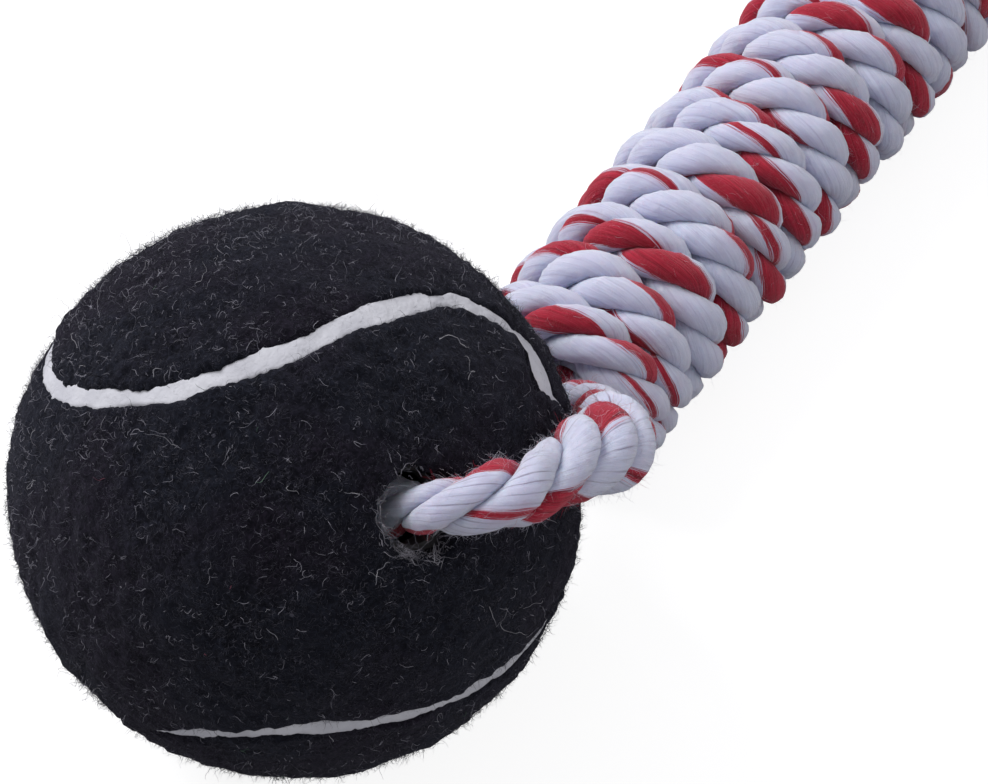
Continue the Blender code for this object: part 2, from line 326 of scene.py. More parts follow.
def mix_colours(tree, share, first, second, blend="MIX"):
    node = add_node(tree, "ShaderNodeMix", data_type="RGBA", blend_type=blend)
    for i, value in zip((0, 6, 7), (share, first, second)):
        connect(tree, node.inputs[i], (*value, 1) if isinstance(value, tuple) else value)
    return node.outputs[2]


def noise(tree, vector, scale, detail=3.0, distortion=0.0, roughness=0.55):
    return add_node(tree, "ShaderNodeTexNoise", {
        "Vector": vector, "Scale": scale, "Detail": detail, "Roughness": roughness, "Distortion": distortion,
    }).outputs["Fac"]


def ramp(tree, value, low, high):
    """0 to 1, smoothly, while a value goes from low to high."""
    node = add_node(tree, "ShaderNodeMapRange", interpolation_type="SMOOTHSTEP")
    for socket, number in zip(node.inputs, (value, low, high, 0.0, 1.0)):
        connect(tree, socket, number)
    return node.outputs[0]


def own_place(tree):
    """Places on the piece itself, which move with it."""
    return add_node(tree, "ShaderNodeTexCoord").outputs["Object"]


def bumped(tree, strength, distance, height):
    return add_node(tree, "ShaderNodeBump", {
        "Strength": strength, "Distance": distance, "Height": height,
    }).outputs[0]


def hair_lines(tree, vector, scale, width, shown, distortion):
    """Thin curly lines where a noise passes its middle value, broken up by another noise."""
    bands = noise(tree, vector, scale, 1.0, distortion)
    away = maths(tree, "ABSOLUTE", maths(tree, "SUBTRACT", bands, 0.5))
    line = ramp(tree, away, width, 0.0)
    where = ramp(tree, noise(tree, vector, scale * 0.9 + 37.0, 2.0), shown, shown + 0.1)
    return times(tree, line, where)


def felt_material():
    material, tree, shader = new_material("black_felt_pile")
    place = own_place(tree)
    tufts = noise(tree, place, 1700.0, 5.0, 0.6, 0.7)
    cloud = noise(tree, place, 130.0, 4.0)
    long_hairs = hair_lines(tree, place, 620.0, 0.014, 0.44, 2.6)
    lines = maths(tree, "MAXIMUM", long_hairs, hair_lines(tree, place, 380.0, 0.009, 0.48, 3.4))
    tuft_share = ramp(tree, tufts, 0.40, 0.68)
    dark = mix_colours(tree, tuft_share, (0.0012, 0.0012, 0.0028), (0.0155, 0.0145, 0.0235))
    cloud_share = times(tree, ramp(tree, cloud, 0.35, 0.7), 0.45)
    shaded = mix_colours(tree, cloud_share, dark, (0.0068, 0.0063, 0.0112))
    patches = ramp(tree, noise(tree, place, 55.0, 2.0), 0.42, 0.58)
    tint = mix_colours(tree, patches, (0.86, 1.06, 1.04), (1.12, 0.95, 1.0))
    tinted = mix_colours(tree, 1.0, shaded, tint, "MULTIPLY")
    haired = mix_colours(tree, times(tree, lines, 0.75), tinted, (0.10, 0.097, 0.127))
    height = maths(tree, "ADD", times(tree, tufts, 0.8), times(tree, lines, 0.3))
    set_inputs(tree, shader, {
        "Base Color": haired, "Roughness": 1.0, "Specular IOR Level": 0.04,
        "Sheen Weight": 0.09, "Sheen Roughness": 0.6, "Sheen Tint": (0.55, 0.55, 0.72, 1),
        "Normal": bumped(tree, 0.9, 0.5 * MM, height),
    })
    return material


def seam_material():
    material, tree, shader = new_material("white_seam_cement")
    place = own_place(tree)
    grain = noise(tree, place, 1500.0, 5.0, 0.4)
    cloud = noise(tree, place, 220.0, 4.0)
    specks = hair_lines(tree, place, 620.0, 0.014, 0.5, 2.4)
    pale = mix_colours(tree, ramp(tree, cloud, 0.3, 0.7), (0.50, 0.50, 0.56), (0.60, 0.60, 0.66))
    set_inputs(tree, shader, {
        "Base Color": mix_colours(tree, times(tree, specks, 0.6), pale, (0.16, 0.16, 0.18)),
        "Roughness": 0.8, "Specular IOR Level": 0.3,
        "Normal": bumped(tree, 0.7, 0.25 * MM, grain),
    })
    return material


def rubber_material():
    material, tree, shader = new_material("grey_moulded_rubber")
    grain = noise(tree, own_place(tree), 900.0, 4.0)
    grey = mix_colours(tree, ramp(tree, grain, 0.3, 0.7), (0.045, 0.045, 0.05), (0.09, 0.09, 0.095))
    set_inputs(tree, shader, {
        "Base Color": grey, "Roughness": 0.75, "Normal": bumped(tree, 0.3, 0.1 * MM, grain),
    })
    return material


def combed(tree, along, around, along_scale, around_scale):
    """Places on a ply, drawn out along its yarns."""
    return add_node(tree, "ShaderNodeCombineXYZ", {
        "X": times(tree, along, along_scale), "Y": times(tree, around, around_scale),
    }).outputs[0]


def cotton_material(name, red_share):
    """Cotton of one ply. The map's V runs once round the ply's yarns, and the first share of it is dyed."""
    material, tree, shader = new_material(name)
    where = add_node(tree, "ShaderNodeUVMap", uv_map="yarn").outputs[0]
    split = add_node(tree, "ShaderNodeSeparateXYZ", {"Vector": where})
    along, around = split.outputs[0], split.outputs[1]
    place = own_place(tree)
    stretched = combed(tree, along, around, 260.0, 58.0)
    fibres = noise(tree, stretched, 1.0, 4.0, 0.7, 0.7)
    cloud = noise(tree, place, 260.0, 3.0)
    streaks = noise(tree, combed(tree, along, around, 130.0, 150.0), 1.0, 3.0, 0.4)
    edge = times(tree, maths(tree, "SUBTRACT", noise(tree, stretched, 0.35, 3.0), 0.5), 0.13)
    frayed = maths(tree, "MULTIPLY_ADD", maths(tree, "SUBTRACT", streaks, 0.5), 0.16, edge)
    turn = maths(tree, "FRACT", maths(tree, "ADD", around, frayed))
    red = ramp(tree, turn, red_share + 0.01, red_share - 0.01)
    after_red = ramp(tree, turn, red_share + 0.14, red_share)
    stain = maths(tree, "MAXIMUM", after_red, ramp(tree, turn, 0.88, 1.0))
    stain = times(tree, stain, ramp(tree, cloud, 0.4, 0.75))
    pale = mix_colours(tree, ramp(tree, fibres, 0.3, 0.7), (0.56, 0.58, 0.745), (0.69, 0.71, 0.89))
    pale = mix_colours(tree, ramp(tree, cloud, 0.35, 0.7), pale, (0.63, 0.64, 0.825))
    pale = mix_colours(tree, times(tree, stain, 0.3), pale, (0.50, 0.30, 0.42))
    dyed = mix_colours(tree, ramp(tree, fibres, 0.3, 0.72), (0.25, 0.007, 0.022), (0.48, 0.022, 0.055))
    bright = times(tree, ramp(tree, streaks, 0.45, 0.75), 0.5)
    dyed = mix_colours(tree, bright, dyed, (0.62, 0.05, 0.095))
    # Painted shade: the colour is darkened along the grooves between the yarns, much more so on the far part
    # of ball A's loop
    count = times(tree, maths(tree, "ADD", around, times(tree, edge, 0.25)), float(YARNS))
    away = maths(tree, "ABSOLUTE", maths(tree, "SUBTRACT", maths(tree, "FRACT", count), 0.5))
    shown = ramp(tree, noise(tree, stretched, 0.5), 0.42, 0.66)
    groove_shade = times(tree, ramp(tree, away, 0.16, 0.0), shown)
    leg_groove_shade = ramp(tree, along, *LEG_GROOVE_SHADE_RANGE)
    shade = mix_colours(tree, leg_groove_shade, (0.82, 0.80, 0.84), (0.40, 0.37, 0.42))
    hairs = hair_lines(tree, place, 900.0, 0.03, 0.42, 2.0)
    height = maths(tree, "ADD", fibres, times(tree, hairs, 0.35))
    set_inputs(tree, shader, {
        "Base Color": mix_colours(tree, groove_shade, mix_colours(tree, red, pale, dyed), shade, "MULTIPLY"),
        "Roughness": 0.9, "Specular IOR Level": 0.2, "Sheen Weight": 0.16, "Sheen Roughness": 0.5,
        "Subsurface Weight": 0.8, "Subsurface Radius": (1.0, 0.7, 0.75), "Subsurface Scale": 2.4 * MM,
        "Normal": bumped(tree, 0.85, 0.28 * MM, height),
    })
    return material


def fibre_material(name, low, high):
    """Loose fibres, whose tone changes from place to place."""
    material, tree, shader = new_material(name)
    tone = ramp(tree, noise(tree, own_place(tree), 600.0, 2.0), 0.35, 0.65)
    set_inputs(tree, shader, {
        "Base Color": mix_colours(tree, tone, low, high), "Roughness": 0.8, "Specular IOR Level": 0.25,
    })
    return material


FELT = felt_material()
SEAM = seam_material()
RUBBER = rubber_material()
FUZZ = {
    "dark": fibre_material("dark_felt_fibre", (0.003, 0.003, 0.006), (0.018, 0.0175, 0.026)),
    "dim": fibre_material("dim_felt_fibre", (0.022, 0.022, 0.034), (0.118, 0.115, 0.147)),
    "grey": fibre_material("grey_felt_fibre", (0.11, 0.11, 0.145), (0.42, 0.41, 0.485)),
    "pale": fibre_material("pale_lint", (0.22, 0.22, 0.26), (0.50, 0.49, 0.54)),
    "frayed": fibre_material("frayed_backing_fibre", (0.07, 0.07, 0.09), (0.34, 0.33, 0.38)),
    "green": fibre_material("green_lint_fibre", (0.05, 0.09, 0.07), (0.10, 0.17, 0.12)),
    "pink": fibre_material("pink_lint_fibre", (0.16, 0.05, 0.08), (0.30, 0.10, 0.15)),
    "cotton": fibre_material("loose_cotton_fibre", (0.52, 0.505, 0.62), (0.70, 0.69, 0.78)),
    "dyed": fibre_material("loose_dyed_fibre", (0.38, 0.015, 0.035), (0.58, 0.04, 0.08)),
}


# Rope

def arc_length(points):
    steps = np.linalg.norm(np.diff(points, axis=0), axis=1)
    return np.concatenate([[0.0], np.cumsum(steps)])


def resampled(points, step):
    """The same line in even steps."""
    length = arc_length(points)
    count = round(length[-1] / step)
    places = np.linspace(0, length[-1], count + 1)
    return np.stack([np.interp(places, length, points[:, i]) for i in range(3)], axis=1)


def wrap_line():
    """Centre line of the left-handed winding."""
    part = np.linspace(0, 1, WRAP_TURNS * WRAP_STEPS + 1)
    angle = WRAP_START - WRAP_ANGLE * part
    return np.stack([
        COIL_HALF * (2 * part - 1),
        COIL_RADIUS * np.cos(angle),
        BAR_AXIS_Z + COIL_RADIUS * np.sin(angle),
    ], axis=1)


def wrap_heading():
    """Way the rope runs at the start of the winding, under the bar."""
    rise = WRAP_PITCH / TURN
    return unit(np.array((rise, math.sin(WRAP_START) * COIL_RADIUS, -math.cos(WRAP_START) * COIL_RADIUS)))


def leg_line(outward, target, arrival, hug_end, handles):
    """One leg of the loop, from the ball's middle out of the bore and round to its straight end."""
    turned_in = target - arrival * LEG_RADIUS
    reach = turned_in - BALL_CENTRE
    toward = unit(reach - outward * (reach @ outward))
    start = math.sqrt(HUG_RADIUS**2 - 2 * HUG_RADIUS * LEG_BEND_RADIUS)
    meets = math.atan2(LEG_BEND_RADIUS, start)
    middle = outward * start + toward * LEG_BEND_RADIUS
    bend = np.linspace(0, QUARTER + meets, BEND_STEPS)[:, None]
    hug = np.linspace(meets, hug_end, BEND_STEPS)[1:, None]
    straight = outward * np.linspace(0, start, BORE_STEPS)[:-1, None]
    bent = middle + (outward * np.sin(bend) - toward * np.cos(bend)) * LEG_BEND_RADIUS
    hugging = (outward * np.cos(hug) + toward * np.sin(hug)) * HUG_RADIUS
    points = BALL_CENTRE + np.concatenate([straight, bent, hugging])
    heading = toward * math.cos(hug_end) - outward * math.sin(hug_end)
    last, distance = points[-1], np.linalg.norm(turned_in - points[-1])
    out, back = last + heading * distance * handles[0], turned_in - arrival * distance * handles[1]
    t = np.linspace(0, 1, RUN_STEPS)[1:, None]
    run = (1 - t) ** 3 * last + 3 * (1 - t) ** 2 * t * out + 3 * (1 - t) * t**2 * back + t**3 * turned_in
    return np.concatenate([points, run, target[None]])


def loop_line():
    """Rope loop through ball A: bar's middle, front leg, bore, back leg, start of the winding."""
    core_end = np.array((-CORE_HALF, 0, BAR_AXIS_Z))
    front = leg_line(BORE_AXIS, core_end, np.array((1.0, 0, 0)), FRONT_HUG_END, FRONT_HANDLES)
    start = wrap_line()[0]
    heading = wrap_heading()
    lead = start - heading * (WRAP_THICKNESS + GAP)
    back = leg_line(-BORE_AXIS, lead, heading, BACK_HUG_END, BACK_HANDLES)
    return np.concatenate([front[::-1], back[1:], start[None]])


def carried(first, headings):
    """Side vectors carried along a line without turning round it."""
    sides = np.empty_like(headings)
    side = first
    for i, heading in enumerate(headings):
        side = side - heading * (side @ heading)
        side = side / np.linalg.norm(side)
        sides[i] = side
    return sides


def headings_of(points):
    smooth = np.gradient(points, axis=0)
    for _ in range(3):
        smooth[1:-1] = (smooth[:-2] + 2 * smooth[1:-1] + smooth[2:]) / 4
    return unit(smooth)


def tucked(along):
    """How far the rope is pushed in under the winding next to where the winding starts."""
    return WRAP_TUCK * smoothstep(along, *TUCK_RISE) * (1 - smoothstep(along, *TUCK_FALL))


def rope_runs():
    """Each stretch of the rope: centres, headings, side vectors and distance along the rope."""
    wrap = resampled(wrap_line(), ROPE_STEP)
    wrap_headings = headings_of(wrap)
    radial = wrap - np.array((0, 0, BAR_AXIS_Z))
    radial[:, 0] = 0
    radial = unit(radial - wrap_headings * (radial * wrap_headings).sum(1, keepdims=True))
    wrap_length = arc_length(wrap)
    runs = {"wrap": [wrap, wrap_headings, radial, wrap_length]}

    loop = resampled(loop_line(), LOOP_STEP)
    headings = headings_of(loop)
    headings[-1] = wrap_headings[0]
    sides = carried(radial[0], headings[::-1])[::-1]
    length = arc_length(loop)
    bow = smoothstep(length, *LEG_BOW_RISE) * (1 - smoothstep(length, *LEG_BOW_FALL))
    hug = smoothstep(length, *LEG_HUG_RISE) * (1 - smoothstep(length, *LEG_HUG_FALL))
    loop = loop + LEG_BOW * bow[:, None] + LEG_HUG * unit(BALL_CENTRE - loop) * hug[:, None]
    loop[:, 0] += tucked(length - length[-1])
    wrap[:, 0] += tucked(wrap_length) - tucked(wrap_length[-1] - wrap_length)
    wrap += BAR_SHIFT
    with_bar = 1 - smoothstep(np.minimum(length, length[-1] - length), *BAR_SHIFT_FADE)
    shift = BAR_SHIFT * with_bar[:, None]
    runs["loop_a"] = [loop + shift, headings, sides, length - length[-1]]
    other = loop @ OTHER_END.T + shift
    other_headings = headings @ OTHER_END.T
    other_sides = sides @ OTHER_END.T
    runs["loop_b"] = [other[::-1], -other_headings[::-1], other_sides[::-1], wrap_length[-1] + length]
    return runs


def squeezed(centres, ball_centre):
    """Rope radius along a loop: thin at the hole's mouth, swollen along the ball, pressed next to the bar."""
    away = np.linalg.norm(centres - ball_centre, axis=1)
    to_mouth = smoothstep(away, BALL_RADIUS - 8 * MM, BALL_RADIUS - 1 * MM)
    leaving = smoothstep(away, BALL_RADIUS - 1 * MM, HUG_RADIUS + 0.4 * MM)
    beyond_bar = np.abs(centres[:, 0]) - COIL_HALF
    swollen = smoothstep(beyond_bar, *SWELL_FALL) * smoothstep(beyond_bar, *SWELL_RISE)
    pressed = smoothstep(beyond_bar, *PRESS_FALL)
    share = 0.88 - 0.18 * to_mouth + 0.3 * leaving + 0.34 * swollen - 0.1 * pressed
    return LEG_RADIUS * share


def along_rope(along, leg, turns):
    """A twist that is given at two places on the leg and on top of each turn, and changes in between."""
    middles = (np.arange(len(turns)) + UPPER_SIDE) * TURN_LENGTH
    places = np.stack([middles - STEADY, middles + STEADY], axis=-1).ravel()
    places = np.concatenate([LEG_PLACES, places])
    return np.interp(along, places, np.concatenate([leg, np.repeat(turns, 2)]))


def yarn_turns(along, ply):
    """Turns of a ply's yarns round it at each place along the rope."""
    middles = (np.arange(len(STRANDS)) + UPPER_SIDE) * TURN_LENGTH
    turns = np.concatenate([LEG_YARNS[ply], np.array(STRAND_YARNS[ply]) - middles / LAY * YARN_TWIST])
    turns = np.unwrap(turns, period=1)
    return along / LAY * YARN_TWIST + along_rope(along, turns[:2], turns[2:])


def ply_outline():
    """Points round a ply's section, a rounded third of a rope of unit radius, and shares of the way."""
    phi = TURN * np.arange(OUTLINE_STEPS) / OUTLINE_STEPS
    arc = -PLY_OFFSET * np.cos(phi) + np.sqrt(1 - (PLY_OFFSET * np.sin(phi)) ** 2)
    facing = np.abs(np.sin(phi)) * math.cos(TURN / 6) - np.cos(phi) * math.sin(TURN / 6)
    side = PLY_OFFSET * math.sin(TURN / 6) / np.maximum(facing, 1e-3)
    third = (arc**-PLY_ROUNDING + side**-PLY_ROUNDING) ** (-1 / PLY_ROUNDING) * PLY_FULLNESS
    reach = third * PLY_PRESSED + (1 - PLY_OFFSET) * (1 - PLY_PRESSED)
    points = np.stack([PLY_OFFSET + reach * np.cos(phi), reach * np.sin(phi)], axis=-1)
    points[:, 0] += 1 - points[:, 0].max()
    closed = np.concatenate([points, points[:1]])
    length = arc_length(closed)
    return closed, length / length[-1]


def ply_surface(ply, centres, headings, sides, along, radius, flat=ROUND, lay=LAY):
    """Rings of points round a ply, whose columns follow its yarns, and their share of the way round it."""
    across = np.cross(headings, sides)
    columns = YARNS * YARN_COLUMNS
    theta = TURN * ply / PLIES - TURN * along / lay + 0.03 * ripple(along, 23 * MM, TWIST_SEED + ply)
    theta += np.radians(along_rope(along, LEG_STRANDS, STRANDS))
    swell = radius * (1 + 0.035 * ripple(along, 11 * MM, SWELL_SEED + ply))
    yarn = np.arange(columns) / columns
    share = np.mod(yarn[None, :] + yarn_turns(along, ply)[:, None], 1.0)
    outline, places = ply_outline()
    outward = np.interp(share, places, outline[:, 0])
    sideways = np.interp(share, places, outline[:, 1])
    ridge = np.abs(np.cos(math.pi * yarn * YARNS)) ** 0.8 - 0.8
    reach = np.hypot(outward - PLY_OFFSET, sideways)
    spot = np.stack(np.broadcast_arrays(along[:, None], yarn[None, :] * 6.5 * MM), axis=-1).reshape(-1, 2)
    lumps = LUMP_HEIGHT * ripple(spot, 2.2 * MM, LUMP_SEED + ply, 30).reshape(share.shape)
    scale = 1 + (YARN_DEPTH * ridge[None, :] + lumps) / (swell[:, None] * reach)
    outward = (PLY_OFFSET + (outward - PLY_OFFSET) * scale) * swell[:, None]
    sideways = sideways * scale * swell[:, None]
    cos, sin = np.cos(theta)[:, None], np.sin(theta)[:, None]
    on_side = (outward * cos - sideways * sin) * flat[0]
    on_across = (outward * sin + sideways * cos) * flat[1]
    points = centres[:, None] + on_side[..., None] * sides[:, None] + on_across[..., None] * across[:, None]
    return points, share


def ply_mesh(name, points, along):
    """The closed mesh of a ply, with a map whose U runs along the rope and V once round the ply's yarns."""
    rings, columns = points.shape[:2]
    i, j = np.meshgrid(np.arange(rings - 1), np.arange(columns), indexing="ij")
    k = (j + 1) % columns
    this, after = i * columns, (i + 1) * columns
    quads = np.stack([this + j, this + k, after + k, after + j], axis=-1)
    first = np.arange(columns)[::-1][None]
    last = (rings - 1) * columns + np.arange(columns)[None]
    mesh = mesh_from(name, points.reshape(-1, 3), quads.reshape(-1, 4), np.concatenate([first, last]))
    u = np.stack([along[i], along[i], along[i + 1], along[i + 1]], axis=-1)
    v = np.stack([j, j + 1, j + 1, j], axis=-1) / columns
    corner_map = np.stack([u, v], axis=-1).reshape(-1, 2)
    caps = np.zeros((2 * columns, 2))
    layer = mesh.uv_layers.new(name="yarn")
    layer.data.foreach_set("uv", np.concatenate([corner_map, caps]).astype(np.float32).ravel())
    return mesh


def cotton_fuzz(key, surfaces, count, seed):
    """Loose fibres that stand off the outer side of the rope, each in the colour of its yarn."""
    rng = np.random.default_rng(seed)
    roots, normals, tangents, dyed = [], [], [], []
    for ply, (points, share) in enumerate(surfaces):
        ring = rng.integers(1, len(points) - 1, count)
        column = rng.integers(0, points.shape[1], count)
        outer = np.minimum(share[ring, column], 1 - share[ring, column]) < FUZZ_REACH_SHARE
        place = points[ring, column]
        for middle in (BALL_CENTRE, OTHER_END @ BALL_CENTRE):
            outer &= np.linalg.norm(place - middle, axis=1) > BALL_RADIUS
        ring, column = ring[outer], column[outer]
        roots.append(place[outer])
        normals.append(unit(place[outer] - points[ring].mean(axis=1)))
        way = rng.choice((-1.0, 1.0), len(ring))[:, None]
        tangents.append(unit(points[ring + 1, column] - points[ring - 1, column]) * way)
        dyed.append(column / points.shape[1] < RED_SHARES[ply])
    roots, normals, tangents = np.concatenate(roots), np.concatenate(normals), np.concatenate(tangents)
    size = len(roots)
    dyed = np.concatenate(dyed) & (rng.random(size) < DYED_FUZZ_SHARE)
    tangents = unit(tangents + COTTON_STRAY * rng.normal(size=(size, 3)))
    lengths, radii, steps, lifts, curl, settle = COTTON_FIBRES
    paths = curled_paths(rng, roots - COTTON_ROOT_DEPTH * normals, normals, tangents,
                         rng.uniform(*lengths, size) * MM, steps, rng.uniform(*lifts, size), curl, settle)
    paths[..., 2] = np.maximum(paths[..., 2], FLOOR_GAP)
    radii = rng.uniform(*radii, size) * MM
    for tone, chosen in (("cotton", ~dyed), ("dyed", dyed)):
        mesh = fibre_mesh(f"rope_{key}_{tone}_fuzz", paths[chosen], radii[chosen])
        add_piece(mesh.name, mesh, FUZZ[tone], "bar", "cotton_rope")


def add_ply(key, ply, points, along, material):
    name = f"rope_{key}_ply_{ply + 1}"
    add_piece(name, ply_mesh(name, points, along), material, "bar", "cotton_rope", f"rope_{key}")


def build_rope():
    materials = [cotton_material(f"cotton_ply_{ply + 1}", RED_SHARES[ply]) for ply in range(PLIES)]
    for key, (centres, headings, sides, along) in rope_runs().items():
        if key == "wrap":
            radius, flat, fuzz = np.full(len(centres), WRAP_THICKNESS / 2), WRAP_FLAT, WRAP_FUZZ
        else:
            middle = BALL_CENTRE if key == "loop_a" else OTHER_END @ BALL_CENTRE
            radius, flat, fuzz = squeezed(centres, middle), ROUND, LOOP_FUZZ
        surfaces = [ply_surface(ply, centres, headings, sides, along, radius, flat) for ply in range(PLIES)]
        for ply, (points, _) in enumerate(surfaces):
            add_ply(key, ply, points, along, materials[ply])
        cotton_fuzz(key, surfaces, fuzz, FUZZ_SEED + len(key))
    ends = np.array([[-CORE_HALF, 0, BAR_AXIS_Z], [CORE_HALF, 0, BAR_AXIS_Z]])
    line = resampled(ends, CORE_STEP) + BAR_SHIFT
    headings = np.tile((1.0, 0, 0), (len(line), 1))
    sides = np.tile((0, 0, 1.0), (len(line), 1))
    along = arc_length(line)
    from_end = np.minimum(along, along[-1] - along)
    radius = CORE_RADIUS * (0.62 + 0.38 * smoothstep(from_end, 0, 7 * MM))
    for ply in range(PLIES):
        points, _ = ply_surface(ply, line, headings, sides, along, radius, lay=LAY * CORE_LAY_SHARE)
        add_ply("core", ply, points, along, materials[ply])


# Ball

def euler_matrix(angles):
    x, y, z = (np.array(Matrix.Rotation(angle, 3, axis)) for angle, axis in zip(angles, "XYZ"))
    return z @ y @ x


def seam_place(turn):
    """Directions and headings of the seam on a unit ball, at angles along it."""
    wide, narrow = SEAM_WAVE_SHARE, 1 - SEAM_WAVE_SHARE
    rise = 2 * math.sqrt(wide * narrow)
    place = np.stack([
        wide * np.cos(turn) + narrow * np.cos(3 * turn),
        wide * np.sin(turn) - narrow * np.sin(3 * turn),
        rise * np.sin(2 * turn),
    ], axis=-1)
    heading = np.stack([
        -wide * np.sin(turn) - 3 * narrow * np.sin(3 * turn),
        wide * np.cos(turn) - 3 * narrow * np.cos(3 * turn),
        2 * rise * np.cos(2 * turn),
    ], axis=-1)
    return unit(place), unit(heading)


def beside_seam(turn, offset):
    """Directions of the points that lie an offset to the side of the seam."""
    place, heading = seam_place(turn)
    side = unit(np.cross(place, heading))
    angle = (np.asarray(offset) / BALL_RADIUS)[..., None]
    return place * np.cos(angle) + side * np.sin(angle)


def seam_drift(turn):
    """How far the real seam strays sideways from its even curve."""
    return np.interp(np.degrees(turn), SEAM_KNOTS[:, 0], SEAM_KNOTS[:, 1], period=360) * MM


def strayed(points):
    """The same directions after the seam and the felt next to it have strayed from their even places."""
    turns = TURN * np.arange(SEAM_SAMPLES) / SEAM_SAMPLES
    places, headings = seam_place(turns)
    across_two = np.roll(places, -1, axis=0) - np.roll(places, 1, axis=0)
    speed = np.linalg.norm(across_two, axis=1) / (2 * turns[1])
    tree = tree_of(places)
    nearest = np.array([tree.find(point)[1] for point in points])
    place, heading = places[nearest], headings[nearest]
    ahead = ((points - place) * heading).sum(1)
    beside = np.abs((points * np.cross(place, heading)).sum(1)) * BALL_RADIUS
    fading = 1 - smoothstep(beside, 0, SEAM_STRAY_REACH)
    drift = seam_drift(turns[nearest] + ahead / speed[nearest]) * fading
    angle = (drift / BALL_RADIUS)[:, None]
    return unit(points * np.cos(angle) + np.cross(points, heading) * np.sin(angle))


def seam_gap(turn, side):
    """Half the width of seam that shows at each turn, ragged, and different on its two sides."""
    turn = np.mod(turn, TURN)
    ring = np.stack([np.cos(turn), np.sin(turn)], axis=-1)
    ragged = sum(share * ripple(ring, wavelength, seed + side) for share, wavelength, seed in EDGE_RIPPLES)
    shut = smoothstep(turn, SEAM_SHUT_FROM, SEAM_SHUT_FROM + SEAM_SHUT_FADE)
    shut *= 1 - smoothstep(turn, SEAM_SHUT_TO - SEAM_SHUT_FADE, SEAM_SHUT_TO)
    share = np.interp(np.degrees(turn), SEAM_KNOTS[:, 0], SEAM_KNOTS[:, 2], period=360)
    return SEAM_HALF_WIDTH * np.clip(share + ragged, 0.1, 4.0) * (1 - 0.88 * shut)


def grid_faces(rows, columns):
    """Corners of the squares of a grid with this many points each way."""
    i, j = np.meshgrid(np.arange(rows - 1), np.arange(columns - 1), indexing="ij")
    first = (i * columns + j).ravel()
    return np.stack([first, first + 1, first + columns + 1, first + columns], axis=-1)


def open_edges(faces):
    """Directed edges that only one face has."""
    starts, ends = faces.ravel(), np.roll(faces, -1, axis=1).ravel()
    size = faces.max() + 1
    forward, backward = starts * size + ends, ends * size + starts
    alone = ~np.isin(forward, backward)
    return starts[alone], ends[alone]


def shell_mesh(name, outer, faces, inner):
    """The closed mesh between an open surface and its copy further in."""
    count = len(outer)
    starts, ends = open_edges(faces)
    walls = np.stack([ends, starts, starts + count, ends + count], axis=-1)
    solid_faces = np.concatenate([faces, faces[:, ::-1] + count, walls])
    return mesh_from(name, np.concatenate([outer, inner]), solid_faces)


def from_points(points, others):
    """Distance from each point to the nearest of the others."""
    tree = tree_of(others)
    return np.array([tree.find(point)[2] for point in points])


def hole_radius(angle, seed):
    ring = np.stack([np.cos(angle), np.sin(angle)], axis=-1)
    return FELT_HOLE_RADIUS * (1 + 0.05 * ripple(ring, 1.2, seed) + 0.03 * ripple(ring, 0.4, seed + 1))


def around_bore(points, bore, shift):
    """Distance of points on the ball from the hole's middle, angle round it and its two side directions."""
    first = unit(np.cross(bore, (0.0, 0.0, 1.0)))
    second = np.cross(bore, first)
    x, y = (points - shift) @ first, (points - shift) @ second
    return np.hypot(x, y), np.arctan2(y, x), first, second


def panel_surface(second):
    """Directions and faces of a felt panel on a unit ball, with ragged edges."""
    turns = -math.pi / 4 + math.pi * (np.arange(FELT_ROWS) + 0.5) / FELT_ROWS
    mirrored = -QUARTER - turns
    sign, side = (-1, 1) if second else (1, 0)
    left = beside_seam(turns, seam_gap(sign * turns, side))
    right = beside_seam(mirrored, seam_gap(sign * mirrored, side))
    spread = np.arccos(np.clip((left * right).sum(1), -1, 1))[:, None, None]
    even = np.arange(FELT_COLUMNS + 1) / FELT_COLUMNS
    share = 0.65 * even + 0.35 * (1 - np.cos(math.pi * even)) / 2
    share = share[None, :, None]
    points = left[:, None] * np.sin((1 - share) * spread) + right[:, None] * np.sin(share * spread)
    points = unit((points / np.sin(spread)).reshape(-1, 3))
    if second:
        points = strayed(points * (1.0, -1.0, -1.0)) * (1.0, -1.0, -1.0)
    else:
        points = strayed(points)
    return points, grid_faces(FELT_ROWS, FELT_COLUMNS + 1)


def cut_hole(points, faces, bore, shift, seed):
    """Takes away the faces inside the rope's hole and brings points left inside onto its ragged ring."""
    for way in (bore, -bore):
        distance, angle, first, second = around_bore(points * BALL_RADIUS, way, shift)
        near = (points @ way) > 0
        ring = hole_radius(angle, seed)
        inside = near & (distance < ring)
        faces = faces[~inside[faces].all(axis=1)]
        flat = (np.cos(angle) * ring)[:, None] * first + (np.sin(angle) * ring)[:, None] * second + shift
        flat = flat / BALL_RADIUS
        on_ring = flat + way * np.sqrt(1 - (flat**2).sum(1))[:, None]
        points = np.where(inside[:, None], on_ring, points)
    used, faces = np.unique(faces, return_inverse=True)
    return points[used], faces.reshape(-1, 4)


